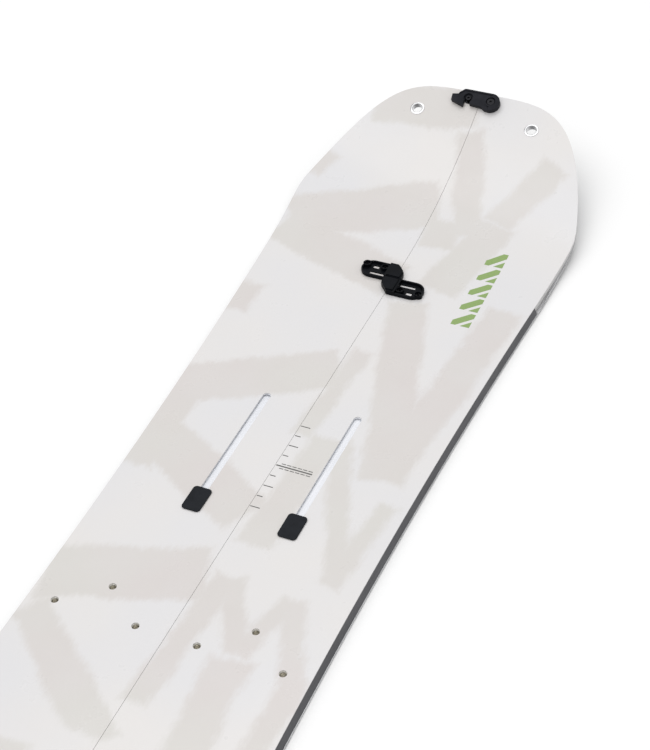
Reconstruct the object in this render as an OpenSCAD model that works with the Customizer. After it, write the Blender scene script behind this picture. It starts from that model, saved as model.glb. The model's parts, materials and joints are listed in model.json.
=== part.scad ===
// Splitboard: a directional snowboard cut along its centre line into two ski-like halves.
// Frame: +X to the right half, +Y to the nose, +Z up. Origin: middle of the length, on the seam,
// at the running base. All sizes in millimetres.

/* [Board outline] */
// Overall length, nose tip to tail tip
board_len = 1590; // [1500:10:1680]
// Width at the waist, at the topsheet
waist_w = 256; // [240:1:275]
// Waist position ahead of the middle
waist_y = 30; // [0:5:60]
// Sidecut radius ahead of the waist
front_sidecut_r = 7100; // [6500:100:9500]
// Sidecut radius behind the waist
rear_sidecut_r = 10400; // [8500:100:13000]
// Nose length, from its widest line to the tip
nose_len = 161; // [140:1:190]
// Nose width where the sidecut meets the nose curve
nose_w = 313; // [295:1:325]
// Tail length, from its widest line to the tip
tail_len = 165; // [140:1:190]
// Tail width where the sidecut meets the tail curve
tail_w = 296; // [280:1:310]
// Bluntness of both ends: higher is squarer
blunt = 4.36; // [2.4:0.02:5]

/* [Side profile] */
// Thickness between the binding zones
mid_t = 10; // [9:0.5:12]
// Thickness at the tips
tip_t = 6.5; // [5:0.5:7]
// Height of the nose above the running base
nose_rise = 61; // [45:1:75]
// Where the nose starts to rise, ahead of the middle
nose_lift_y = 550; // [550:1:560]
// Height of the tail above the running base
tail_rise = 40; // [25:1:55]
// Where the tail starts to rise, behind the middle
tail_lift_y = 560; // [550:1:575]

/* [Laminate] */
// Topsheet thickness
sheet_t = 0.8; // [0.5:0.1:1.2]
// Running base thickness
base_t = 1.3; // [1:0.1:1.6]
// Steel edge width seen from below
edge_w = 2.2; // [1.8:0.1:2.6]
// Outer sidewall width at the core
wall_w = 9; // [7:0.5:12]
// Inner sidewall width along the seam
seam_wall_w = 6; // [4:0.5:8]
// How far the sidewall leans out from top to bottom
wall_lean = 3.4; // [2:0.1:4]
// Gap between the halves
seam_gap = 0.3; // [0.3:0.05:0.5]

/* [Binding slots] */
// Front stance centre, ahead of the middle
front_stance_y = 250.4; // [230:0.2:260]
// Rear stance centre, behind the middle
rear_stance_y = 304; // [280:1:330]
// Distance of the slots from the seam
slot_x = 46; // [42:0.5:50]
// Slot opening in the topsheet
slot_w = 7.7; // [7:0.1:9]
// Slot end ahead of the stance centre
slot_ahead = 83; // [60:0.5:84]
// Slot end behind the stance centre, under the cover
slot_behind = 77.5; // [60:0.5:79]
// Cover width
cover_w = 17.9; // [16:0.1:20]
// Cover length
cover_len = 28.2; // [24:0.1:32]

/* [Hardware] */
// Threaded insert bore radius (M6 minor diameter)
insert_bore_r = 2.5; // [2.4:0.05:2.6]
// Distance of a hook pair from the middle
hook_y = 528; // [480:1:528]
// Grommet hole radius
grommet_bore_r = 5.4; // [4.5:0.1:5.5]
// Grommet distance from the seam
grommet_x = 65.5; // [60:0.5:72]
// Grommet distance from the middle
grommet_y = 765; // [755:0.5:766]
// Distance of the tip clips from the middle
clip_y = 785.2; // [780:0.1:785.4]
// Clip pivot and post distance from the seam
clip_x = 12.8; // [12:0.1:14]

/* [Hidden] */
$fn = 64;

half_len = board_len / 2;
near_seam = seam_gap / 2;
taper_start = 500;      // the thickness is constant inside this distance, past every slot
taper_end = 700;
nose_power = 2.07;      // how the nose curve steepens
tail_power = 2.2;
blend = 2;              // rounding between sidecut and end curves
tip_flat = 0.02;        // leaves a short straight edge at each tip
wall_front_y = 538;     // sidewalls run between these two lines
wall_rear_y = -560;
edge_front_y = 657;     // the outer steel edges run further, round the widest lines
edge_rear_y = -650;
core_front_y = 717;     // the wood core's own tips
core_rear_y = -715;
core_end_len = 150;
joint_gap = 0.1;        // hairline between sections of the base, the tip fills and the core strips
core_gap = 0.4;         // the core's pocket in the tip fills is this much longer
lean_fade = 110;        // the sidewall's lean fades out over this length
edge_h = 1.9;           // height of the visible steel
flange_w = 6;           // edge flange under the core
core_z = edge_h;        // the core rests on the edge flanges and the glass layer between them
wall_foot = 0.5;        // step from the steel edge in to the sidewall's foot
through = 20;           // how far cutting shapes reach past what they cut
tall = 140;             // taller than the whole board

rail_w = 20;
rail_h = 7.3;           // the rails stand on the glass layer, in gaps of the core's middle strip
neck_w = 7.4;           // slot between the rail's lips
lip_t = 0.7;
groove_w = 13;          // room for the clamp nut under the lips
rail_floor = 5.5;
entry_w = 13.4;         // nut entry under the cover
entry_len = 20;
rail_end = 3;           // solid rail past each end of the slot
rail_short = 0.8;       // the rail's slot stops short of the topsheet's, so its rim shows
rail_z = mid_t - sheet_t - rail_h;
entry_from_end = 14;    // middle of the nut entry from the slot's rear end
slot_rear_gap = 8;      // the narrow slot starts here, under the cover
entry_r = 2;
cover_cap_t = 1.2;
cover_lift = 0.3;       // cap underside above the topsheet
cover_plug_play = 0.3;
cover_r = 3.6;

insert_xs = [28, 66, 104];
insert_ys = [42.9, 72.9, 42.9];
insert_mouth_r = 3.4;
insert_barrel_r = 4.4;
insert_flange_r = 8;
insert_flange_t = 1;
insert_floor = 0.8;     // closed end of the insert
insert_chamfer = 0.7;
barrel_top = mid_t - sheet_t;

hole_play = 0.03;
flange_lift = 0.12;     // flat flanges stand this far off, because the tips curve under them
grommet_barrel_r = grommet_bore_r + 1;
grommet_flange_r = 8;
grommet_flange_t = 0.8;

hook_screw_us = [13.7, 33.3];
hook_screw_v = 14.6;    // screw row distance from the pair's centre line
hook_back_v = 21.6;     // far edge of a plate from the pair's centre line
hook_front_v = 2;
hook_side_u = 9.6;      // the plate's full depth starts here
hook_end_u = 25.4;      // its round end
hook_end_r = 11.8;
hook_web_t = 1.2;       // the plate's web is thin inside its rim
hook_rim_w = 1.7;
hook_boss_r = 4.2;
hook_boss_h = 4.6;
hook_t = 3.6;
hook_gap = 0.35;        // tongue underside above the other half's topsheet
hook_split = 0.4;       // half the gap between the two tongues
tongue_root_u = 6;
tongue_reach = 9.2;
tongue_t = 5.2;
tongue_step = 1;
screw_r = 2;
screw_len = 4.6;
screw_head_r = 2.9;
screw_head_h = 1.6;
board_hole_r = 2.7;     // clip screw hole in the board

clip_t = 6;
clip_rim_h = 1;
clip_rim_w = 1.8;
clip_gap = 0.6;         // clip underside above the topsheet
clip_end_v = -1;
clip_end_r = 10.4;
clip_tab_u = 31.9;      // end of the tab
tab_hinge_u = 24;       // where the tab starts to thin
tab_slope = 8;
clip_seat_r = 5.1;
clip_seat_depth = 2.4;
clip_screw_len = 4;
end_gap = 0.3;          // between the clip and the flange or head next to it
post_r = 2.7;
post_collar_r = 5;
mouth_tab_gap = 0.9;
mouth_pivot_gap = 0.6;
bushing_r = 3.5;
bushing_flange_r = 6;
pivot_play = 0.05;

function clamp01(v) = min(1, max(0, v));
function taper(y) = clamp01((abs(y) - taper_start) / (taper_end - taper_start));
function thick(y) = mid_t + (tip_t - mid_t) * taper(y);
// the nose's underside first takes up the taper, so its topsheet stays level, and then curves up
function nose_lift(y) =
  (y > 0 ? (mid_t - tip_t) * taper(y) : 0)
  + nose_rise * pow(clamp01((y - nose_lift_y) / (half_len - nose_lift_y)), nose_power);
function tail_lift(y) = tail_rise * pow(clamp01((-y - tail_lift_y) / (half_len - tail_lift_y)), tail_power);
function base_z(y) = nose_lift(y) + tail_lift(y);
function top_z(y) = base_z(y) + thick(y);
function top_slope(y) = top_z(y + 0.5) - top_z(y - 0.5);
function grommet_len(end) = tip_t * cos(atan(top_slope(end * grommet_y)));

function soft_min(a, b) = min(a, b) - blend * ln(1 + exp(-abs(a - b) / blend));
function sidecut(y) =
  waist_w / 2 + pow(y - waist_y, 2) / (2 * (y > waist_y ? front_sidecut_r : rear_sidecut_r));
function end_curve(from_tip, end_len, end_w) =
  end_w / 2 * pow((max(0, from_tip) + tip_flat) / end_len, 1 / blunt);
function half_w(y) =
  soft_min(
    soft_min(sidecut(y), end_curve(half_len - y, nose_len, nose_w)),
    end_curve(half_len + y, tail_len, tail_w)
  );
function core_w(y) =
  soft_min(
    soft_min(half_w(y) - wall_w, end_curve(core_front_y - y, core_end_len, waist_w)),
    end_curve(y - core_rear_y, core_end_len, waist_w)
  );
// the base is wider than the topsheet along the sidewalls
function lean(y) =
  wall_lean * clamp01((edge_front_y - y) / lean_fade) * clamp01((y - edge_rear_y) / lean_fade);
function base_w(y) = half_w(y) + lean(y);

// Stations along the board, close together where it curves. Each end is crowded towards its tip.
end_zone = 230;
end_steps = 34;
flat_steps = 30;
function nose_station(i) = half_len - end_zone * pow(1 - i / end_steps, 2.1);
nose_stations = [for (i = [0:end_steps]) nose_station(i)];
tail_stations = [for (i = [end_steps:-1:0]) -nose_station(i)];
mid_stations = [
  for (i = [1:flat_steps - 1])
    -half_len + end_zone + (board_len - 2 * end_zone) * i / flat_steps
];
fixed_stations = [
  -taper_start, taper_start, -taper_end, taper_end, nose_lift_y,
  wall_front_y, wall_rear_y, edge_front_y, edge_rear_y, core_front_y, core_rear_y
];
function insert_sorted(list, v) =
  concat([for (a = list) if (a < v - 0.01) a], [v], [for (a = list) if (a > v + 0.01) a]);
function merged(list, extra, i = 0) =
  i == len(extra) ? list : merged(insert_sorted(list, extra[i]), extra, i + 1);
stations = merged(concat(tail_stations, mid_stations, nose_stations), fixed_stations);
function between(y0, y1) = [for (y = stations) if (y >= y0 - 0.001 && y <= y1 + 0.001) y];

// ---- building blocks ----

// Right-half plan shape between two x functions of y
module plan(ys, inner, outer) {
  polygon(concat(
    [for (y = ys) [outer(y), y]],
    [for (i = [len(ys) - 1:-1:0]) [inner(ys[i]), ys[i]]]
  ));
}

// Layer of the board between two height functions of y
module layer(ys, low, high) {
  translate([-through, 0, 0])
    rotate([90, 0, 90])
      linear_extrude(half_len)
        polygon(concat(
          [for (y = ys) [y, low(y)]],
          [for (i = [len(ys) - 1:-1:0]) [ys[i], high(ys[i])]]
        ));
}

module prism(y0, y1, inner, outer, low, high) {
  ys = between(y0, y1);
  intersection() {
    translate([0, 0, -through]) linear_extrude(tall) plan(ys, inner, outer);
    layer(ys, low, high);
  }
}

// Solid swept along the stations; ring(y) is the section, a list of [x, z], anticlockwise seen from the tail
module sweep(ys, ring) {
  n = len(ring(0));
  points = [for (y = ys) for (p = ring(y)) [p[0], y, p[1]]];
  sides = [
    for (i = [0:len(ys) - 2]) for (k = [0:n - 1])
      let (a = i * n + k, b = i * n + (k + 1) % n)
        each [[a, b, b + n], [a, b + n, a + n]]
  ];
  start_cap = [[for (k = [n - 1:-1:0]) k]];
  end_cap = [[for (k = [0:n - 1]) (len(ys) - 1) * n + k]];
  polyhedron(points, [for (f = concat(sides, start_cap, end_cap)) [for (k = [len(f) - 1:-1:0]) f[k]]]);
}

// Puts children on the topsheet, tilted with it
module on_top(x, y) {
  translate([x, y, top_z(y)])
    rotate([atan(top_slope(y)), 0, 0])
      children();
}

module side(s) {
  mirror([s < 0 ? 1 : 0, 0, 0]) children();
}

module slot_shape(w, y0, y1) {
  hull_len = y1 - y0 - w;
  translate([0, y0 + w / 2]) circle(d = w);
  translate([0, y1 - w / 2]) circle(d = w);
  translate([-w / 2, y0 + w / 2]) square([w, hull_len]);
}

module rounded(w, l, r) {
  square([w - 2 * r, l], center = true);
  square([w, l - 2 * r], center = true);
  for (x = [-1, 1]) for (y = [-1, 1])
    translate([x * (w / 2 - r), y * (l / 2 - r)]) circle(r = r);
}

// ---- holes through the laminate, in right-half coordinates; s is +1 right, -1 left ----

// the covers sit at the slots' rear ends
slot_len = slot_ahead + slot_behind;
function slot_front(c) = c + slot_ahead;
function slot_back(c) = c - slot_behind;
function entry_mid(c) = slot_back(c) + entry_from_end;

module rail_cut(c) {
  translate([slot_x - rail_w / 2, slot_back(c) - rail_end, rail_z])
    cube([rail_w, slot_len + 2 * rail_end, rail_h + through]);
}

module slot_mouth(c) {
  translate([slot_x, 0, rail_z]) linear_extrude(through) {
    slot_shape(slot_w, slot_back(c) + slot_rear_gap, slot_front(c));
    translate([0, entry_mid(c)]) rounded(entry_w, entry_len, entry_r);
  }
}

module insert_holes(r, z0, z1) {
  for (i = [0:2])
    translate([insert_xs[i], insert_ys[i], z0]) cylinder(r = r, h = z1 - z0);
}

module hardware_holes(s) {
  for (end = [-1, 1]) {
    for (u = hook_screw_us)
      on_top(0, end * hook_y) translate([u, -s * hook_screw_v, -screw_len])
        cylinder(r = screw_r + hole_play, h = screw_len + 2);
    on_top(clip_x, end * clip_y)
      translate([0, 0, -clip_screw_len]) cylinder(r = board_hole_r + hole_play, h = clip_screw_len + 2);
  }
}

module grommet_holes() {
  for (end = [-1, 1])
    on_top(grommet_x, end * grommet_y)
      translate([0, 0, -through / 2]) cylinder(r = grommet_barrel_r + hole_play, h = through);
}

// ---- laminate pieces of one half, drawn for the right side ----

function has_edge(y) = y >= edge_rear_y && y <= edge_front_y;
function has_seam_edge(y) = y >= wall_rear_y && y <= wall_front_y;

// Hairline joints across the board, between the slots and where the tips curve
module cross_joints() {
  for (y = [edge_rear_y, wall_rear_y, -195, 150, wall_front_y, edge_front_y])
    translate([-through, y - joint_gap / 2, -through]) cube([half_len, joint_gap, tall]);
}

// The core is glued from strips: between the seam and the rails, in line with the rails, and outside them
module strip_joints() {
  for (x = [slot_x - rail_w / 2, slot_x + rail_w / 2])
    translate([x - joint_gap / 2, -half_len, -through]) cube([joint_gap, board_len, tall]);
}

module base_half() {
  difference() {
    prism(-half_len, half_len,
      function (y) has_seam_edge(y) ? near_seam + edge_w : near_seam,
      function (y) has_edge(y) ? base_w(y) - edge_w : base_w(y),
      function (y) base_z(y), function (y) base_z(y) + base_t);
    grommet_holes();
    cross_joints();
  }
}

// Fibreglass that fills the space between the flanges of the steel edges
module glass_half() {
  difference() {
    prism(-half_len, half_len,
      function (y) has_seam_edge(y) ? near_seam + flange_w : near_seam,
      function (y) has_edge(y) ? base_w(y) - flange_w : half_w(y),
      function (y) base_z(y) + base_t, function (y) base_z(y) + core_z);
    grommet_holes();
  }
}

core_side = function (y) max(near_seam + seam_wall_w + 1, core_w(y));

module core_half(s) {
  difference() {
    prism(core_rear_y + core_gap, core_front_y - core_gap,
      function (y) near_seam + seam_wall_w, core_side,
      function (y) base_z(y) + core_z, function (y) top_z(y) - sheet_t);
    rail_cut(front_stance_y);
    rail_cut(-rear_stance_y);
    insert_holes(insert_barrel_r, 0, through);
    insert_holes(insert_flange_r, 0, core_z + insert_flange_t);
    hardware_holes(s);
    cross_joints();
    strip_joints();
  }
}

module topsheet_half(s) {
  difference() {
    prism(-half_len, half_len,
      function (y) near_seam, function (y) half_w(y),
      function (y) top_z(y) - sheet_t, function (y) top_z(y));
    slot_mouth(front_stance_y);
    slot_mouth(-rear_stance_y);
    insert_holes(insert_mouth_r, 0, through);
    hardware_holes(s);
    grommet_holes();
  }
}

module outer_sidewall_half() {
  sweep(between(wall_rear_y, wall_front_y), function (y) [
    [core_w(y), base_z(y) + core_z],
    [base_w(y) - wall_foot, base_z(y) + core_z],
    [half_w(y), top_z(y) - sheet_t],
    [core_w(y), top_z(y) - sheet_t],
  ]);
}

module inner_sidewall_half() {
  prism(wall_rear_y, wall_front_y,
    function (y) near_seam, function (y) near_seam + seam_wall_w,
    function (y) base_z(y) + core_z, function (y) top_z(y) - sheet_t);
}

module outer_edge_half() {
  sweep(between(edge_rear_y, edge_front_y), function (y) [
    [base_w(y) - edge_w, base_z(y)],
    [base_w(y), base_z(y)],
    [base_w(y), base_z(y) + edge_h],
    [base_w(y) - flange_w, base_z(y) + edge_h],
    [base_w(y) - flange_w, base_z(y) + base_t],
    [base_w(y) - edge_w, base_z(y) + base_t],
  ]);
}

module inner_edge_half() {
  sweep(between(wall_rear_y, wall_front_y), function (y) [
    [near_seam, base_z(y)],
    [near_seam + edge_w, base_z(y)],
    [near_seam + edge_w, base_z(y) + base_t],
    [near_seam + flange_w, base_z(y) + base_t],
    [near_seam + flange_w, base_z(y) + edge_h],
    [near_seam, base_z(y) + edge_h],
  ]);
}

// Plastic fill between base and topsheet round one end of the core
module tip_fill_half(s, y0, y1) {
  difference() {
    prism(y0, y1,
      function (y) near_seam, function (y) half_w(y),
      function (y) base_z(y) + core_z, function (y) top_z(y) - sheet_t);
    translate([0, 0, -through]) linear_extrude(tall)
      plan(between(core_rear_y, core_front_y), function (y) near_seam + seam_wall_w, core_side);
    hardware_holes(s);
    grommet_holes();
    cross_joints();
  }
}

// ---- hardware drawn for the right side ----

module rail(c) {
  translate([slot_x, 0, rail_z]) difference() {
    translate([-rail_w / 2, slot_back(c) - rail_end, 0])
      cube([rail_w, slot_len + 2 * rail_end, rail_h]);
    translate([0, 0, rail_floor]) linear_extrude(rail_h - rail_floor - lip_t)
      slot_shape(groove_w, slot_back(c) + 1, slot_front(c) + 1);
    translate([0, 0, rail_h - lip_t - 0.1]) linear_extrude(through)
      slot_shape(neck_w, slot_back(c) + slot_rear_gap, slot_front(c) - rail_short);
    translate([0, entry_mid(c), rail_floor]) linear_extrude(through) rounded(entry_w, entry_len, entry_r);
  }
}

module slot_cover(c) {
  plug_h = sheet_t + lip_t + cover_lift;
  plug_w = entry_w - 2 * cover_plug_play;
  plug_len = entry_len - 2 * cover_plug_play;
  translate([slot_x, entry_mid(c), mid_t + cover_lift]) {
    linear_extrude(cover_cap_t) rounded(cover_w, cover_len, cover_r);
    translate([0, 0, -plug_h]) linear_extrude(plug_h) rounded(plug_w, plug_len, entry_r - cover_plug_play);
  }
}

module inserts_half() {
  for (i = [0:2]) translate([insert_xs[i], insert_ys[i], 0]) difference() {
    union() {
      translate([0, 0, core_z]) cylinder(r = insert_flange_r, h = insert_flange_t);
      translate([0, 0, core_z]) cylinder(r = insert_barrel_r, h = barrel_top - core_z);
    }
    translate([0, 0, core_z + insert_floor]) cylinder(r = insert_bore_r, h = through);
    translate([0, 0, barrel_top - insert_chamfer])
      cylinder(r1 = insert_bore_r, r2 = insert_bore_r + insert_chamfer, h = insert_chamfer + 0.01);
  }
}

// Eyelet through the tip, flush with the base, with a domed flange on the topsheet
module grommets_half() {
  for (end = [-1, 1]) on_top(grommet_x, end * grommet_y)
    rotate_extrude() polygon([
      [grommet_bore_r, -grommet_len(end)],
      [grommet_barrel_r, -grommet_len(end)],
      [grommet_barrel_r, flange_lift],
      [grommet_flange_r, flange_lift],
      [grommet_flange_r - 0.3, 0.6 * grommet_flange_t],
      [grommet_flange_r - 1.2, grommet_flange_t],
      [grommet_bore_r + 0.6, grommet_flange_t],
      [grommet_bore_r, 0.4 * grommet_flange_t],
    ]);
}

// ---- hook plates ----
// u runs out from the seam, v along it from the pair's centre line towards the nose.
// The tongue reaches over the other half, and the left plate is the same part turned half round.

module hook_plate_outline(inset) {
  depth = hook_back_v + hook_front_v;
  translate([hook_end_u, -hook_back_v + hook_end_r]) circle(r = hook_end_r - inset);
  translate([hook_side_u, inset - hook_back_v]) square([hook_end_u - hook_side_u, depth - 2 * inset]);
}

module hook_plate_holes() {
  // a long narrow slot and a small window show the topsheet
  translate([hook_side_u + 1, -6.4]) square([16, 3.4]);
  translate([20.2, -16.6]) square([6.4, 4]);
  for (u = hook_screw_us) translate([u, -hook_screw_v]) circle(r = screw_r + 0.1);
}

module hook_tongue_shape() {
  polygon([
    [10, -hook_split], [0.4 - tongue_reach, -hook_split], [-tongue_reach, -1.6], [1.4 - tongue_reach, -11],
    [1.6, -hook_back_v], [10, -hook_back_v]
  ]);
}

module hook() {
  difference() {
    union() {
      linear_extrude(hook_web_t) hook_plate_outline(0);
      linear_extrude(hook_t) difference() {
        hook_plate_outline(0);
        hook_plate_outline(hook_rim_w);
      }
      linear_extrude(hook_t)
        translate([tongue_root_u, -hook_back_v]) square([4, hook_back_v - hook_split]);
      translate([0, 0, hook_gap]) linear_extrude(tongue_t - hook_gap) hook_tongue_shape();
      // raised field of the tongue
      translate([0, 0, hook_gap]) linear_extrude(tongue_t + tongue_step - hook_gap) intersection() {
        hook_tongue_shape();
        translate([-6.6, 2.2 - hook_back_v]) square([14.2, hook_back_v - 3.8]);
      }
      for (u = hook_screw_us) translate([u, -hook_screw_v, 0]) cylinder(r = hook_boss_r, h = hook_boss_h);
    }
    translate([0, 0, -1]) linear_extrude(through) hook_plate_holes();
    // seats for the screw heads
    for (u = hook_screw_us) translate([u, -hook_screw_v, hook_web_t])
      cylinder(r = screw_head_r + 0.3, h = through);
    // the tongue stands clear of the other half
    translate([-through, -2 * through, -1]) cube([through + near_seam, 4 * through, 1 + hook_gap]);
  }
}

module hex_socket(r) {
  cylinder(r = r, h = through, $fn = 6);
}

module hook_screw() {
  difference() {
    union() {
      translate([0, 0, hook_web_t]) cylinder(r1 = screw_head_r, r2 = screw_head_r - 0.3, h = screw_head_h);
      translate([0, 0, -screw_len]) cylinder(r = screw_r, h = screw_len + hook_web_t);
    }
    translate([0, 0, hook_web_t + 0.5]) hex_socket(1.4);
  }
}

module hook_at(s, end) {
  on_top(0, end * hook_y)
    rotate([0, 0, s < 0 ? 180 : 0])
      children();
}

// ---- tip clips, drawn for the nose: pivot at +clip_x, notch round the post at -clip_x ----

module clip_outline() {
  difference() {
    union() {
      translate([clip_x, clip_end_v]) circle(r = clip_end_r);
      polygon([
        [-clip_tab_u, 1.8], [0.9 - clip_tab_u, -5.8], [-16.6, -10.6], [-9.6, -7.4], [4.4, -8.6],
        [8, -10.9], [clip_x, clip_end_v - clip_end_r],
        [clip_x, clip_end_v + clip_end_r], [-17.6, clip_end_v + clip_end_r], [-19.4, 8.8], [-25, 2.6]
      ]);
    }
    // mouth for the post, wider on the tab side because the halves part as the clip opens
    translate([-clip_x - post_r - mouth_tab_gap, -through])
      square([2 * post_r + mouth_tab_gap + mouth_pivot_gap, through]);
    translate([-clip_x - (mouth_tab_gap - mouth_pivot_gap) / 2, 0])
      circle(r = post_r + (mouth_tab_gap + mouth_pivot_gap) / 2);
  }
}

module clip_body() {
  face = clip_t - clip_rim_h;
  difference() {
    union() {
      linear_extrude(face) clip_outline();
      // rim along the tip side and round the pivot end
      linear_extrude(clip_t) difference() {
        clip_outline();
        translate([0, -clip_rim_w]) difference() {
          clip_outline_front(clip_x, -2 * through);
          translate([clip_x, 0]) circle(r = clip_seat_r);
        }
      }
      linear_extrude(clip_t) translate([clip_x, clip_end_v]) difference() {
        circle(r = clip_end_r);
        circle(r = clip_end_r - clip_rim_w);
        translate([-through, -through]) square([through, 2 * through]);
      }
    }
    for (u = [-clip_x, clip_x])
      translate([u, 0, face - clip_seat_depth]) cylinder(r = clip_seat_r, h = through);
    translate([clip_x, 0, -1]) cylinder(r = bushing_r + pivot_play, h = through);
    // the tab thins towards its end
    translate([-tab_hinge_u, -through, clip_t - clip_rim_h]) rotate([0, -tab_slope, 0])
      translate([-through, 0, 0]) cube([through, 2 * through, through]);
  }
}

// Field behind the rim: from a tall line on the pivot side out past the tab
module clip_outline_front(u, v_low) {
  polygon([
    [-18, clip_end_v + clip_end_r], [u, clip_end_v + clip_end_r], [u, v_low], [-2 * through, v_low],
    [-2 * through, 3], [-25.6, 3]
  ]);
}

// height of the floor of the screw seats above the board
seat_floor = clip_gap + clip_t - clip_rim_h - clip_seat_depth;

module pivot_bushing() {
  difference() {
    union() {
      translate([0, 0, flange_lift]) cylinder(r = bushing_r, h = seat_floor + end_gap - flange_lift);
      translate([0, 0, flange_lift]) cylinder(r = bushing_flange_r, h = clip_gap - end_gap - flange_lift);
    }
    translate([0, 0, -1]) cylinder(r = board_hole_r, h = through);
  }
}

module pivot_screw() {
  head_z = seat_floor + end_gap;
  head_h = 1.6;
  difference() {
    union() {
      translate([0, 0, -clip_screw_len]) cylinder(r = board_hole_r - pivot_play, h = clip_screw_len + head_z);
      translate([0, 0, head_z]) cylinder(r = clip_seat_r - 1.1, h = head_h);
    }
    translate([0, 0, head_z + head_h - 1.2]) hex_socket(1.6);
  }
}

module clip_post() {
  post_top = seat_floor + 1.4;
  difference() {
    union() {
      translate([0, 0, -clip_screw_len]) cylinder(r = board_hole_r - pivot_play, h = clip_screw_len);
      translate([0, 0, flange_lift]) cylinder(r = post_collar_r, h = clip_gap - end_gap - flange_lift);
      cylinder(r = post_r, h = post_top);
    }
    translate([0, 0, post_top - 1.4]) hex_socket(1.5);
  }
}

module at_clip(end, u) {
  on_top(0, end * clip_y)
    rotate([0, 0, end < 0 ? 180 : 0])
      translate([u, 0, 0])
        children();
}

// ---- colours ----
wood = "burlywood";
steel = "silver";
black = "#1d1f22";
sheet_white = "#e6e4e1";

// ---- nodes ----
module left_base() { color("dimgray") side(-1) base_half(); }
module right_base() { color("dimgray") side(1) base_half(); }
module left_glass_layer() { color("khaki") side(-1) glass_half(); }
module left_core() { color(wood) side(-1) core_half(-1); }
module right_glass_layer() { color("khaki") side(1) glass_half(); }
module right_core() { color(wood) side(1) core_half(1); }
module left_topsheet() { color(sheet_white) side(-1) topsheet_half(-1); }
module right_topsheet() { color(sheet_white) side(1) topsheet_half(1); }
module left_outer_sidewall() { color("#535358") side(-1) outer_sidewall_half(); }
module right_outer_sidewall() { color("#535358") side(1) outer_sidewall_half(); }
module left_inner_sidewall() { color("#535358") side(-1) inner_sidewall_half(); }
module right_inner_sidewall() { color("#535358") side(1) inner_sidewall_half(); }
module left_outer_edge() { color(steel) side(-1) outer_edge_half(); }
module right_outer_edge() { color(steel) side(1) outer_edge_half(); }
module left_inner_edge() { color(steel) side(-1) inner_edge_half(); }
module right_inner_edge() { color(steel) side(1) inner_edge_half(); }
module left_nose_fill() { color("gainsboro") side(-1) tip_fill_half(-1, wall_front_y, half_len); }
module right_nose_fill() { color("gainsboro") side(1) tip_fill_half(1, wall_front_y, half_len); }
module left_tail_fill() { color("gainsboro") side(-1) tip_fill_half(-1, -half_len, wall_rear_y); }
module right_tail_fill() { color("gainsboro") side(1) tip_fill_half(1, -half_len, wall_rear_y); }

module left_inserts() { color(steel) side(-1) inserts_half(); }
module right_inserts() { color(steel) side(1) inserts_half(); }
module left_front_rail() { color("lightgray") side(-1) rail(front_stance_y); }
module left_rear_rail() { color("lightgray") side(-1) rail(-rear_stance_y); }
module right_front_rail() { color("lightgray") side(1) rail(front_stance_y); }
module right_rear_rail() { color("lightgray") side(1) rail(-rear_stance_y); }
module left_front_cover() { color(black) side(-1) slot_cover(front_stance_y); }
module left_rear_cover() { color(black) side(-1) slot_cover(-rear_stance_y); }
module right_front_cover() { color(black) side(1) slot_cover(front_stance_y); }
module right_rear_cover() { color(black) side(1) slot_cover(-rear_stance_y); }

module left_front_hook() { color(black) hook_at(-1, 1) hook(); }
module left_rear_hook() { color(black) hook_at(-1, -1) hook(); }
module right_front_hook() { color(black) hook_at(1, 1) hook(); }
module right_rear_hook() { color(black) hook_at(1, -1) hook(); }
module hook_screws(s) {
  for (end = [-1, 1]) for (u = hook_screw_us)
    hook_at(s, end) translate([u, -hook_screw_v, 0]) hook_screw();
}
module left_hook_screws() { color(steel) hook_screws(-1); }
module right_hook_screws() { color(steel) hook_screws(1); }
module left_grommets() { color(steel) side(-1) grommets_half(); }
module right_grommets() { color(steel) side(1) grommets_half(); }

module nose_clip() { color(black) at_clip(1, 0) translate([0, 0, clip_gap]) clip_body(); }
module nose_pivot_bushing() { color(steel) at_clip(1, clip_x) pivot_bushing(); }
module nose_pivot_screw() { color(steel) at_clip(1, clip_x) pivot_screw(); }
module nose_post() { color(steel) at_clip(1, -clip_x) clip_post(); }
module tail_clip() { color(black) at_clip(-1, 0) translate([0, 0, clip_gap]) clip_body(); }
module tail_pivot_bushing() { color(steel) at_clip(-1, clip_x) pivot_bushing(); }
module tail_pivot_screw() { color(steel) at_clip(-1, clip_x) pivot_screw(); }
module tail_post() { color(steel) at_clip(-1, -clip_x) clip_post(); }

left_base();
left_glass_layer();
left_core();
left_topsheet();
left_outer_sidewall();
left_inner_sidewall();
left_outer_edge();
left_inner_edge();
left_nose_fill();
left_tail_fill();
right_base();
right_glass_layer();
right_core();
right_topsheet();
right_outer_sidewall();
right_inner_sidewall();
right_outer_edge();
right_inner_edge();
right_nose_fill();
right_tail_fill();
left_inserts();
right_inserts();
left_front_rail();
left_rear_rail();
right_front_rail();
right_rear_rail();
left_front_cover();
left_rear_cover();
right_front_cover();
right_rear_cover();
left_front_hook();
left_rear_hook();
right_front_hook();
right_rear_hook();
left_hook_screws();
right_hook_screws();
left_grommets();
right_grommets();
nose_clip();
nose_pivot_bushing();
nose_pivot_screw();
nose_post();
tail_clip();
tail_pivot_bushing();
tail_pivot_screw();
tail_post();
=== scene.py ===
import json
import math

import bmesh
import bpy
from mathutils import Matrix, Vector
from mathutils.bvhtree import BVHTree


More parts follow.
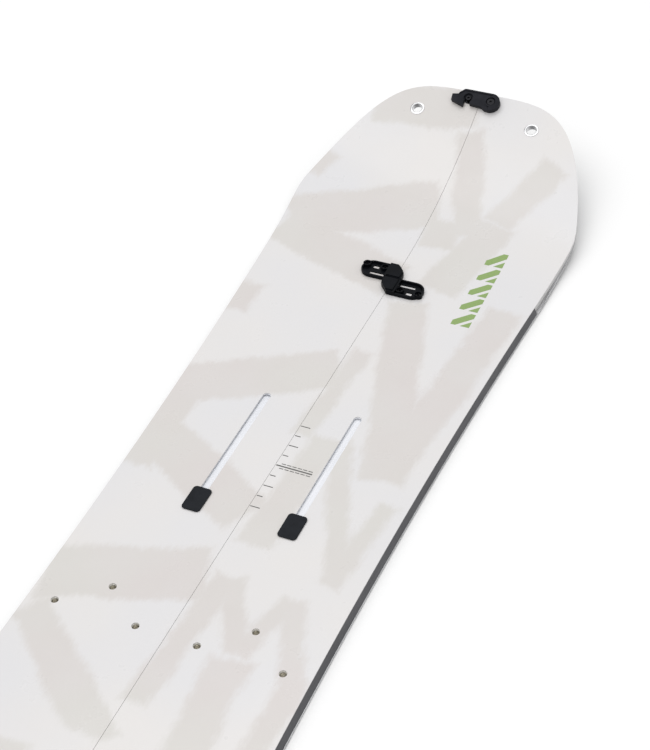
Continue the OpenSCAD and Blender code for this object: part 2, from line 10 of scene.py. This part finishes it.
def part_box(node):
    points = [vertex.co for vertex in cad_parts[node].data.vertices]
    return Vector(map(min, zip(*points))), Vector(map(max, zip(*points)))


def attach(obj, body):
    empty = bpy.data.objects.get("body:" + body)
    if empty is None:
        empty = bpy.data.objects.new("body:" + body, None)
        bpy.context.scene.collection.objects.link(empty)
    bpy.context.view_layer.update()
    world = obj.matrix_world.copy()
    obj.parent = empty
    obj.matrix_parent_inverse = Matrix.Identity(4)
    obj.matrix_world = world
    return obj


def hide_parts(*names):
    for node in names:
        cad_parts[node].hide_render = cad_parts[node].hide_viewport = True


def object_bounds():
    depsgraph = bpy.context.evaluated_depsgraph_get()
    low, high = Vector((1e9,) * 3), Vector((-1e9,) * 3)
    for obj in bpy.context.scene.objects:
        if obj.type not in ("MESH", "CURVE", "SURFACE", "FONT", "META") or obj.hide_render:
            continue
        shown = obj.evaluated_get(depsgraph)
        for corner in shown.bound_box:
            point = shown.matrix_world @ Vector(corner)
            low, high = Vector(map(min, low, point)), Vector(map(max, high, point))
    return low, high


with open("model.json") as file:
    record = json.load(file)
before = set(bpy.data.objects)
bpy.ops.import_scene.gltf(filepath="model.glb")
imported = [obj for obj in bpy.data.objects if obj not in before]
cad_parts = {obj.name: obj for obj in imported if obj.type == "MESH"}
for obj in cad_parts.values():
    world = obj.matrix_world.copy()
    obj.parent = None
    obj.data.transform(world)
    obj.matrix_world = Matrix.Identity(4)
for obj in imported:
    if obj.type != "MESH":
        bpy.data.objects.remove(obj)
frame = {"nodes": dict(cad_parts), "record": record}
cad_low, cad_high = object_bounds()
nodes = frame["nodes"]
record = frame["record"]
MM = 0.001
body_of = {n: b for b, members in record["behaviour"]["bodies"].items() for n in members}
slot_of = {s["node"]: s["material_slot"] for s in record["subparts"]}


# ---- camera ----

CAMERA_PLACE = (0.5007, -0.6447, 1.0302)
CAMERA_RIGHT = Vector((0.917507, 0.395426, -0.042649))
CAMERA_UP = Vector((-0.235626, 0.626825, 0.742678))
FOCAL_LENGTH = 77.83
SENSOR_SHIFT = (-0.0266, 0.0016)


def make_camera():
    data = bpy.data.cameras.new("photo_camera")
    cam = bpy.data.objects.new("photo_camera", data)
    bpy.context.scene.collection.objects.link(cam)
    turn = Matrix((CAMERA_RIGHT, CAMERA_UP, CAMERA_RIGHT.cross(CAMERA_UP))).transposed().to_4x4()
    cam.matrix_world = Matrix.Translation(CAMERA_PLACE) @ turn
    data.lens = FOCAL_LENGTH
    data.shift_x, data.shift_y = SENSOR_SHIFT
    data.clip_start = 0.01
    data.clip_end = 60
    bpy.context.scene.camera = cam


make_camera()


# ---- materials ----

class Finish:
    """One procedural material. Methods return sockets, and take sockets or plain values."""

    def __init__(self, name):
        self.mat = bpy.data.materials.new(name)
        self.mat.use_nodes = True
        self.tree = self.mat.node_tree
        self.tree.nodes.clear()
        out = self.add("ShaderNodeOutputMaterial")
        self.bsdf = self.add("ShaderNodeBsdfPrincipled")
        self.tree.links.new(self.bsdf.outputs[0], out.inputs[0])
        self.where = self.add("ShaderNodeTexCoord").outputs["Object"]

    def add(self, kind, **props):
        node = self.tree.nodes.new(kind)
        for key, value in props.items():
            setattr(node, key, value)
        return node

    def put(self, socket, value):
        if isinstance(value, bpy.types.NodeSocket):
            self.tree.links.new(value, socket)
        elif hasattr(socket.default_value, "__len__") and len(socket.default_value) == 4:
            socket.default_value = (*value[:3], 1.0)
        else:
            socket.default_value = value

    def math(self, operation, a, b=0.0):
        node = self.add("ShaderNodeMath", operation=operation)
        self.put(node.inputs[0], a)
        self.put(node.inputs[1], b)
        return node.outputs[0]

    def stretch(self, scale=(1, 1, 1), turn=(0, 0, 0)):
        node = self.add("ShaderNodeMapping")
        self.put(node.inputs["Vector"], self.where)
        node.inputs["Scale"].default_value = scale
        node.inputs["Rotation"].default_value = turn
        return node.outputs[0]

    def noise(self, scale, detail=3.0, rough=0.5, at=None):
        node = self.add("ShaderNodeTexNoise")
        self.put(node.inputs["Vector"], at or self.where)
        node.inputs["Scale"].default_value = scale
        node.inputs["Detail"].default_value = detail
        node.inputs["Roughness"].default_value = rough
        return node.outputs["Fac"]

    def span(self, value, low, high, to_low=0.0, to_high=1.0, smooth=False):
        node = self.add("ShaderNodeMapRange", interpolation_type="SMOOTHSTEP" if smooth else "LINEAR")
        self.put(node.inputs["Value"], value)
        for key, v in (("From Min", low), ("From Max", high), ("To Min", to_low), ("To Max", to_high)):
            node.inputs[key].default_value = v
        return node.outputs[0]

    def mix(self, amount, a, b):
        node = self.add("ShaderNodeMix", data_type="RGBA")
        self.put(node.inputs["Factor"], amount)
        self.put(node.inputs[6], a)
        self.put(node.inputs[7], b)
        return node.outputs[2]

    def bump(self, height, distance, strength=1.0, under=None):
        node = self.add("ShaderNodeBump")
        self.put(node.inputs["Height"], height)
        node.inputs["Distance"].default_value = distance
        node.inputs["Strength"].default_value = strength
        if under:
            self.put(node.inputs["Normal"], under)
        return node.outputs[0]

    def parts(self):
        node = self.add("ShaderNodeSeparateXYZ")
        self.put(node.inputs[0], self.where)
        return node.outputs

    def done(self, **inputs):
        for key, value in inputs.items():
            self.put(self.bsdf.inputs[key.replace("_", " ")], value)
        return self.mat


# Brush strokes of the topsheet print: start x, y, end x, y, half width, all in millimetres.
# They lie between the nose and the point that the tail's print turns about.
STROKES = [
    (2, 752, 46, 616, 15), (106, 730, 70, 642, 17), (70, 642, 46, 528, 22), (18, 634, 22, 590, 20),
    (27, 502, 97, 266, 20), (122, 522, 97, 266, 18), (15, 420, 6, 292, 10), (31, 298, 23, 156, 16),
    (42, 298, 102, 150, 10), (113, 240, 100, 138, 9), (20, 118, 7, -26, 12), (24, 116, 60, 48, 10),
    (80, 114, 62, 48, 9), (82, 114, 113, 36, 10), (60, 40, 66, -60, 19), (118, 44, 112, -60, 11),
    (-112, 764, 2, 776, 24), (-158, 684, -132, 672, 17), (-147, 590, 2, 652, 33), (-147, 578, 2, 530, 27),
    (-150, 455, -118, 455, 22), (-130, 316, 2, 388, 27), (-130, 256, 2, 186, 26), (-126, 340, -126, 206, 24),
    (-130, 68, 2, 114, 29), (-120, 30, 2, -68, 17),
]
PRINT_CENTRE_Y = -75    # the tail's print is the nose's, turned half round this point
BRUSH_DRIFT = 16        # how far the stroke edges wander, in millimetres
BRUSH_BRISTLE = 12      # how far the dry bristles reach, in millimetres
BRUSH_FADE = 5          # half the width of the soft stroke edge, in millimetres


def topsheet_finish(name):
    m = Finish(name)
    # wavering of the stroke edges: slow drift, and the dry bristles' rough ends
    drift = m.math("MULTIPLY", m.math("SUBTRACT", m.noise(22, 3, 0.6), 0.5), BRUSH_DRIFT * MM)
    bristle_at = m.stretch(scale=(1, 0.32, 1), turn=(0, 0, 0.5))
    bristle_wave = m.math("SUBTRACT", m.noise(260, 4, 0.7, bristle_at), 0.5)
    bristle = m.math("MULTIPLY", bristle_wave, BRUSH_BRISTLE * MM)
    waver = m.math("ADD", drift, bristle)
    x, y, _ = m.parts()
    from_centre = m.math("SUBTRACT", y, PRINT_CENTRE_Y * MM)
    px = m.math("MULTIPLY", x, m.math("SIGN", from_centre))
    py = m.math("ADD", m.math("ABSOLUTE", from_centre), PRINT_CENTRE_Y * MM)
    ink = 0.0
    for x0, y0, x1, y1, half_width in STROKES:
        start = Vector((x0, y0)) * MM
        run = Vector((x1 - x0, y1 - y0)) * MM
        way = run.normalized()
        rx = m.math("SUBTRACT", px, start.x)
        ry = m.math("SUBTRACT", py, start.y)
        along = m.math("ADD", m.math("MULTIPLY", rx, way.x), m.math("MULTIPLY", ry, way.y))
        across = m.math("ADD", m.math("MULTIPLY", rx, -way.y), m.math("MULTIPLY", ry, way.x))
        from_middle = m.math("ABSOLUTE", m.math("SUBTRACT", along, run.length / 2))
        beyond = m.math("SUBTRACT", from_middle, run.length / 2)
        outside = m.math("MAXIMUM", m.math("SUBTRACT", m.math("ABSOLUTE", across), half_width * MM), beyond)
        depth = m.math("ADD", outside, waver)
        cover = m.span(depth, BRUSH_FADE * MM, -BRUSH_FADE * MM, smooth=True)
        ink = m.math("MAXIMUM", cover, ink)
    # the strokes fade out where the two prints meet
    meeting = m.span(m.math("ADD", m.math("ABSOLUTE", from_centre), waver), 4 * MM, 14 * MM, smooth=True)
    ink = m.math("MULTIPLY", ink, meeting)
    # the ink itself is uneven, and the ground has faint warm and cool clouds
    body = m.span(m.noise(14, 4, 0.6), 0.3, 0.7, 0.78, 1.0)
    ink = m.math("MULTIPLY", ink, body)
    ground = m.mix(m.span(m.noise(7, 2, 0.5), 0.35, 0.65), (0.688, 0.682, 0.694), (0.712, 0.692, 0.68))
    stroke = m.mix(m.span(m.noise(5, 2, 0.5), 0.4, 0.6), (0.622, 0.584, 0.568), (0.62, 0.602, 0.574))
    colour = m.mix(ink, ground, stroke)
    weave_x = m.add("ShaderNodeTexWave", bands_direction="X")
    weave_y = m.add("ShaderNodeTexWave", bands_direction="Y")
    for wave in (weave_x, weave_y):
        m.put(wave.inputs["Vector"], m.where)
        wave.inputs["Scale"].default_value = 160
        wave.inputs["Distortion"].default_value = 0.3
    weave = m.math("MULTIPLY", weave_x.outputs["Fac"], weave_y.outputs["Fac"])
    colour = m.mix(m.math("MULTIPLY", weave, 0.05), colour, (0.6, 0.6, 0.6))
    peel = m.bump(m.noise(380, 2, 0.5), 0.00004, 0.35)
    faint = m.bump(weave, 0.00002, 0.3, peel)
    rough = m.span(m.noise(40, 3, 0.6), 0.3, 0.7, 0.26, 0.36)
    return m.done(
        Base_Color=colour, Roughness=rough, Normal=faint, Coat_Weight=0.35, Coat_Roughness=0.12,
        Specular_IOR_Level=0.45,
    )


def brushed_metal(name, light, dark, rough, grain, along, pits=0.0, metal=1.0):
    m = Finish(name)
    scale = {"X": (0.02, 1, 1), "Y": (1, 0.02, 1), "Z": (1, 1, 0.02)}[along]
    streak = m.noise(grain, 4, 0.65, m.stretch(scale=scale))
    cloud = m.noise(60, 3, 0.5)
    tone = m.math("ADD", m.math("MULTIPLY", streak, 0.75), m.math("MULTIPLY", cloud, 0.25))
    colour = m.mix(m.span(tone, 0.34, 0.66), dark, light)
    if pits:
        spot = m.span(m.noise(500, 2, 0.7), 0.66, 0.72)
        colour = m.mix(m.math("MULTIPLY", spot, pits), colour, (0.09, 0.07, 0.055))
    normal = m.bump(streak, 0.00003, 0.5)
    return m.done(
        Base_Color=colour, Metallic=metal, Roughness=m.span(tone, 0.3, 0.7, rough - 0.06, rough + 0.1),
        Normal=normal, Anisotropic=0.4,
    )


def moulded(name, dark, light, rough):
    """Black moulded plastic: fine spark-eroded texture, slight flow marks and handling polish."""
    m = Finish(name)
    flow = m.noise(90, 3, 0.6)
    fine = m.noise(1400, 2, 0.6)
    colour = m.mix(m.span(flow, 0.35, 0.7), dark, light)
    polish = m.span(m.noise(45, 4, 0.6), 0.3, 0.7, rough - 0.08, rough + 0.08)
    normal = m.bump(fine, 0.00002, 0.6, m.bump(flow, 0.00004, 0.25))
    return m.done(Base_Color=colour, Roughness=polish, Normal=normal, Specular_IOR_Level=0.06)


def cover_finish():
    m = Finish("cover_plastic")
    rib = m.add("ShaderNodeTexWave", bands_direction="DIAGONAL", wave_profile="TRI")
    m.put(rib.inputs["Vector"], m.stretch(scale=(1, 1, 0)))
    rib.inputs["Scale"].default_value = 190
    rib.inputs["Distortion"].default_value = 0.6
    rib.inputs["Detail Scale"].default_value = 3
    cloud = m.noise(150, 3, 0.6)
    colour = m.mix(m.span(cloud, 0.3, 0.7), (0.008, 0.0095, 0.0125), (0.014, 0.016, 0.02))
    normal = m.bump(rib.outputs["Fac"], 0.00003, 0.35, m.bump(m.noise(1500, 2, 0.6), 0.00002, 0.5))
    return m.done(Base_Color=colour, Roughness=m.span(cloud, 0.3, 0.7, 0.36, 0.5), Normal=normal,
                  Specular_IOR_Level=0.1)


def sidewall_finish():
    m = Finish("sidewall")
    cut = m.noise(700, 4, 0.6, m.stretch(scale=(1, 0.03, 1)))
    cloud = m.noise(30, 4, 0.6)
    colour = m.mix(m.span(cloud, 0.3, 0.7), (0.056, 0.056, 0.062), (0.072, 0.072, 0.079))
    scuff = m.span(m.noise(160, 5, 0.75, m.stretch(scale=(1, 0.15, 1))), 0.68, 0.8)
    colour = m.mix(m.math("MULTIPLY", scuff, 0.35), colour, (0.16, 0.16, 0.165))
    normal = m.bump(cut, 0.00004, 0.5)
    return m.done(Base_Color=colour, Roughness=m.span(cut, 0.3, 0.7, 0.38, 0.55), Normal=normal)


def base_finish():
    m = Finish("running_base")
    groove = m.noise(1300, 3, 0.6, m.stretch(scale=(1, 0.008, 1)))
    cross = m.noise(900, 3, 0.6, m.stretch(scale=(1, 0.01, 1), turn=(0, 0, 0.14)))
    grind = m.math("ADD", m.math("MULTIPLY", groove, 0.6), m.math("MULTIPLY", cross, 0.4))
    cloud = m.noise(9, 4, 0.6)
    colour = m.mix(m.span(grind, 0.36, 0.64), (0.028, 0.031, 0.036), (0.05, 0.054, 0.06))
    colour = m.mix(m.span(cloud, 0.35, 0.75, 0.0, 0.35), colour, (0.07, 0.075, 0.08))
    return m.done(
        Base_Color=colour, Roughness=m.span(grind, 0.3, 0.7, 0.26, 0.44), Normal=m.bump(grind, 0.00004, 0.6),
        Coat_Weight=0.1, Coat_Roughness=0.3,
    )


def wood_finish():
    m = Finish("core_wood")
    strips = m.add("ShaderNodeTexWave", bands_direction="X")
    m.put(strips.inputs["Vector"], m.where)
    strips.inputs["Scale"].default_value = 24
    grain = m.noise(420, 5, 0.65, m.stretch(scale=(1, 0.03, 1)))
    colour = m.mix(m.span(grain, 0.3, 0.7), (0.5, 0.33, 0.17), (0.68, 0.5, 0.3))
    colour = m.mix(m.math("MULTIPLY", strips.outputs["Fac"], 0.3), colour, (0.42, 0.28, 0.15))
    return m.done(Base_Color=colour, Roughness=0.62, Normal=m.bump(grain, 0.0001, 0.4))


def glass_finish():
    m = Finish("glass_laminate")
    a = m.add("ShaderNodeTexWave", bands_direction="X")
    b = m.add("ShaderNodeTexWave", bands_direction="Y")
    for wave in (a, b):
        m.put(wave.inputs["Vector"], m.stretch(turn=(0, 0, math.pi / 4)))
        wave.inputs["Scale"].default_value = 110
    weave = m.math("MAXIMUM", a.outputs["Fac"], b.outputs["Fac"])
    colour = m.mix(weave, (0.42, 0.42, 0.33), (0.58, 0.58, 0.48))
    return m.done(Base_Color=colour, Roughness=0.4, Normal=m.bump(weave, 0.00008, 0.5))


def tip_finish():
    m = Finish("tip_plastic")
    cloud = m.noise(25, 4, 0.6)
    colour = m.mix(m.span(cloud, 0.3, 0.7), (0.55, 0.545, 0.54), (0.63, 0.625, 0.62))
    cut = m.noise(600, 3, 0.6, m.stretch(scale=(1, 1, 0.1)))
    return m.done(
        Base_Color=colour, Roughness=m.span(cut, 0.3, 0.7, 0.4, 0.58), Normal=m.bump(cut, 0.00004, 0.4),
    )


def threaded_finish():
    m = Finish("insert_steel")
    thread = m.add("ShaderNodeTexWave", bands_direction="Z", wave_profile="TRI")
    m.put(thread.inputs["Vector"], m.where)
    thread.inputs["Scale"].default_value = 50
    cloud = m.noise(700, 3, 0.6)
    colour = m.mix(m.span(cloud, 0.3, 0.7), (0.5, 0.48, 0.43), (0.72, 0.7, 0.65))
    normal = m.bump(thread.outputs["Fac"], 0.0002, 0.55, m.bump(cloud, 0.00002, 0.4))
    return m.done(
        Base_Color=colour, Metallic=1.0, Roughness=m.span(cloud, 0.3, 0.7, 0.16, 0.28), Normal=normal,
    )


def polished_finish():
    m = Finish("grommet_metal")
    cloud = m.noise(240, 4, 0.6)
    scratch = m.noise(1500, 3, 0.7, m.stretch(scale=(1, 0.1, 1), turn=(0, 0, 0.8)))
    colour = m.mix(m.span(cloud, 0.3, 0.7), (0.62, 0.62, 0.63), (0.78, 0.78, 0.79))
    return m.done(
        Base_Color=colour, Metallic=1.0, Roughness=m.span(scratch, 0.35, 0.65, 0.1, 0.2),
        Normal=m.bump(scratch, 0.00001, 0.4),
    )


def print_finish(name, light, dark):
    """Ink under the clear topsheet."""
    m = Finish(name)
    grain = m.noise(900, 3, 0.6)
    colour = m.mix(m.span(grain, 0.35, 0.65), dark, light)
    return m.done(
        Base_Color=colour, Roughness=m.span(m.noise(60, 2, 0.5), 0.3, 0.7, 0.28, 0.36), Coat_Weight=0.35,
        Coat_Roughness=0.12, Normal=m.bump(grain, 0.00001, 0.3),
    )


finishes = {
    "running_base": base_finish(),
    "core_wood": wood_finish(),
    "glass_laminate": glass_finish(),
    "sidewall": sidewall_finish(),
    "edge_steel": brushed_metal("edge_steel", (0.56, 0.56, 0.57), (0.36, 0.36, 0.37), 0.3, 1100, "Y", 0.5),
    "tip_plastic": tip_finish(),
    "insert_steel": threaded_finish(),
    "rail_aluminium": brushed_metal(
        "rail_aluminium", (0.82, 0.83, 0.865), (0.72, 0.735, 0.775), 0.45, 520, "Y", metal=0.25
    ),
    "cover_plastic": cover_finish(),
    "hook_plastic": moulded("hook_plastic", (0.003, 0.0036, 0.005), (0.006, 0.007, 0.0095), 0.4),
    "clip_plastic": moulded("clip_plastic", (0.014, 0.0145, 0.0185), (0.022, 0.0225, 0.028), 0.42),
    "screw_steel": brushed_metal("screw_steel", (0.03, 0.03, 0.033), (0.012, 0.012, 0.014), 0.26, 1600, "X"),
    "grommet_metal": polished_finish(),
    "bushing_metal": brushed_metal("bushing_metal", (0.66, 0.66, 0.66), (0.48, 0.48, 0.48), 0.26, 1400, "X"),
}
sheet_finish = {side: topsheet_finish(side + "_topsheet_print") for side in ("left", "right")}
ink_dark = print_finish("dark_ink", (0.1, 0.097, 0.094), (0.065, 0.063, 0.061))
ink_green = print_finish("green_ink", (0.235, 0.36, 0.095), (0.2, 0.315, 0.08))


# ---- pieces that stand for the CAD nodes, with broken edges and smooth shading ----

def link(mesh, name):
    obj = bpy.data.objects.new(name, mesh)
    bpy.context.scene.collection.objects.link(obj)
    return obj


JOINT_GAP = 0.1 * MM       # hairline joints across the running base and the tip fills
CREASE_ANGLE = 30.0        # sharper edges than this are broken, in degrees
SMOOTH_ANGLE = 24.0        # flatter edges than this are shaded smooth, in degrees


def close_hairlines(bm):
    """The running base and tip fills have hairline joints across them. The visual piece is one sheet."""
    low = min(v.co.y for v in bm.verts) + 1 * MM
    high = max(v.co.y for v in bm.verts) - 1 * MM
    caps = []
    for face in bm.faces:
        ys = [v.co.y for v in face.verts]
        if max(ys) - min(ys) < 0.1 * JOINT_GAP and low < ys[0] < high:
            caps.append(face)
    bmesh.ops.delete(bm, geom=caps, context="FACES")
    bmesh.ops.remove_doubles(bm, verts=bm.verts, dist=1.1 * JOINT_GAP)


def dress(node, edge, segments=2, finish=None, sectioned=False):
    source = nodes[node]
    bm = bmesh.new()
    bm.from_mesh(source.data)
    bmesh.ops.remove_doubles(bm, verts=bm.verts, dist=2e-6)
    if sectioned:
        close_hairlines(bm)
    bmesh.ops.dissolve_limit(
        bm, angle_limit=math.radians(0.05), use_dissolve_boundaries=False, verts=bm.verts, edges=bm.edges
    )
    for face in bm.faces:
        face.smooth = True
    for e in bm.edges:
        e.smooth = len(e.link_faces) == 2 and e.calc_face_angle(0.0) < math.radians(SMOOTH_ANGLE)
    mesh = bpy.data.meshes.new(node + "_skin")
    bm.to_mesh(mesh)
    bm.free()
    obj = link(mesh, node + "_skin")
    if edge:
        bevel = obj.modifiers.new("edges", "BEVEL")
        bevel.width = edge
        bevel.segments = segments
        bevel.limit_method = "ANGLE"
        bevel.angle_limit = math.radians(CREASE_ANGLE)
        bevel.harden_normals = True
        bevel.miter_outer = "MITER_ARC"
    mesh.materials.append(finish or finishes[slot_of[node]])
    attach(obj, body_of[node])
    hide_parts(node)


for node in nodes:
    side = node.split("_")[0]
    if node.endswith("_topsheet"):
        dress(node, 0.25 * MM, 2, finish=sheet_finish[side])
    elif node.endswith(("_cover", "_hook")):
        dress(node, 0.35 * MM, 3)
    elif node.endswith("_clip"):
        dress(node, 0.4 * MM, 3)
    elif node.endswith(("_grommets", "_screws", "_screw", "_post", "_rail", "_inserts")):
        dress(node, 0.12 * MM, 2)
    elif node.endswith(("_fill", "_base")):
        dress(node, 0.0, sectioned=True)
    elif node.endswith("_sidewall"):
        dress(node, 0.0)
    else:
        nodes[node].data.materials.clear()
        nodes[node].data.materials.append(finishes[slot_of[node]])


# ---- printed marks, laid on the topsheets ----

def surface_of(node):
    bm = bmesh.new()
    bm.from_mesh(nodes[node].data)
    tree = BVHTree.FromBMesh(bm)
    bm.free()
    return tree


surfaces = {side: surface_of(side + "_topsheet") for side in ("left", "right")}


PRINT_LIFT = 0.06 * MM
PRINT_FACET = 4 * MM       # longer edges of a mark are cut up, so that it follows the curve of the board


def lay_print(name, side, outlines, ink):
    """Flat outlines in millimetres, cut fine and laid on the topsheet."""
    bm = bmesh.new()
    for outline in outlines:
        bm.faces.new([bm.verts.new((x * MM, y * MM, 0)) for x, y in outline])
    bmesh.ops.triangulate(bm, faces=bm.faces)
    long_edges = [e for e in bm.edges if e.calc_length() > PRINT_FACET]
    if long_edges:
        bmesh.ops.subdivide_edges(bm, edges=long_edges, cuts=6, use_grid_fill=True)
    for v in bm.verts:
        hit, normal, _, _ = surfaces[side].ray_cast(Vector((v.co.x, v.co.y, 0.3)), Vector((0, 0, -1)))
        v.co = hit + normal * PRINT_LIFT
    bmesh.ops.recalc_face_normals(bm, faces=bm.faces)
    if sum(f.normal.z for f in bm.faces) < 0:
        bmesh.ops.reverse_faces(bm, faces=bm.faces)
    mesh = bpy.data.meshes.new(name)
    bm.to_mesh(mesh)
    bm.free()
    mesh.materials.append(ink)
    obj = link(mesh, name)
    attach(obj, side + "_half")


def bar(x0, y0, x1, y1):
    return [(x0, y0), (x1, y0), (x1, y1), (x0, y1)]


# the stance scale beside each pair of slots: ticks from the seam, and two rows of dashes at the middle tick
RAIL_END_TO_STANCE = 80.5
TICK_PITCH = 40 / 3
TICKS_EACH_WAY = 4
SEAM_MARGIN = 0.9
DASH_START, DASH_LENGTH, DASH_PITCH, DASH_HALF = 5, 4.2, 5.2, 0.45
DASH_ROW_OFFSET = 2.9

stances = {end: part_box(f"right_{end}_rail")[0].y / MM + RAIL_END_TO_STANCE for end in ("front", "rear")}
for end, stance in stances.items():
    marks = []
    for i in range(-TICKS_EACH_WAY, TICKS_EACH_WAY + 1):
        y = stance + i * TICK_PITCH
        length = 35.0 if i == 0 else 9.2 if i % 2 == 0 else 5.6
        half = 0.75 if i == 0 else 0.5
        marks.append(bar(SEAM_MARGIN, y - half, SEAM_MARGIN + length, y + half))
    for y in (stance - DASH_ROW_OFFSET, stance + DASH_ROW_OFFSET):
        for k in range(6):
            x = DASH_START + DASH_PITCH * k
            marks.append(bar(x, y - DASH_HALF, x + DASH_LENGTH, y + DASH_HALF))
    lay_print(f"{end}_stance_scale", "right", marks, ink_dark)

# a ladder of five slanted green leaves on the nose of the right half
LEAF_X, LEAF_WIDTH, LEAF_PITCH = 77.5, 19, 24.4
LEAF_FROM_STANCE = 236
leaves = []
for i in range(5):
    x, far = LEAF_X, LEAF_X + LEAF_WIDTH
    y = stances["front"] + LEAF_FROM_STANCE + LEAF_PITCH * i
    leaves.append([(x, y), (x + 4.6, y), (far, y + 14.5), (far, y + 20.8), (x + 14, y + 20.8), (x, y + 6.6)])
    leaves.append([(x + 9.5, y), (far, y), (far, y + 9.4)])
lay_print("right_nose_leaves", "right", leaves, ink_green)


# ---- light and floor ----

FLOOR_RADIUS = 14
FLOOR_GAP = 0.4 * MM       # between the floor and the running base
WORLD_STRENGTH = 0.58


def make_floor():
    bm = bmesh.new()
    bmesh.ops.create_circle(bm, cap_ends=True, segments=96, radius=FLOOR_RADIUS)
    for v in bm.verts:
        v.co.z = cad_low.z - FLOOR_GAP
    mesh = bpy.data.meshes.new("floor")
    bm.to_mesh(mesh)
    bm.free()
    floor = link(mesh, "floor")
    m = Finish("floor_paper")
    cloud = m.noise(3, 2, 0.5)
    colour = m.mix(cloud, (0.93, 0.93, 0.93), (0.94, 0.94, 0.94))
    mesh.materials.append(m.done(Base_Color=colour, Roughness=0.9, Specular_IOR_Level=0.1))


def area_light(name, place, aim, size, power):
    data = bpy.data.lights.new(name, "AREA")
    data.shape = "RECTANGLE"
    data.size, data.size_y = size
    data.energy = power
    light = bpy.data.objects.new(name, data)
    bpy.context.scene.collection.objects.link(light)
    light.location = place
    light.rotation_mode = "QUATERNION"
    light.rotation_quaternion = (Vector(place) - Vector(aim)).to_track_quat("Z", "Y")


make_floor()
world = bpy.data.worlds.new("studio")
world.use_nodes = True
sky = world.node_tree.nodes["Background"]
sky.inputs["Color"].default_value = (1, 1, 1, 1)
sky.inputs["Strength"].default_value = WORLD_STRENGTH
bpy.context.scene.world = world
middle = (cad_low + cad_high) / 2
area_light("overhead", (-0.2, -0.2, 3.0), middle, (4.6, 4.6), 74)
area_light("rear_softbox", (-0.5, 2.6, 2.7), middle, (3.4, 2.6), 16)
bpy.context.scene.view_settings.view_transform = "Standard"

bpy.context.view_layer.update()
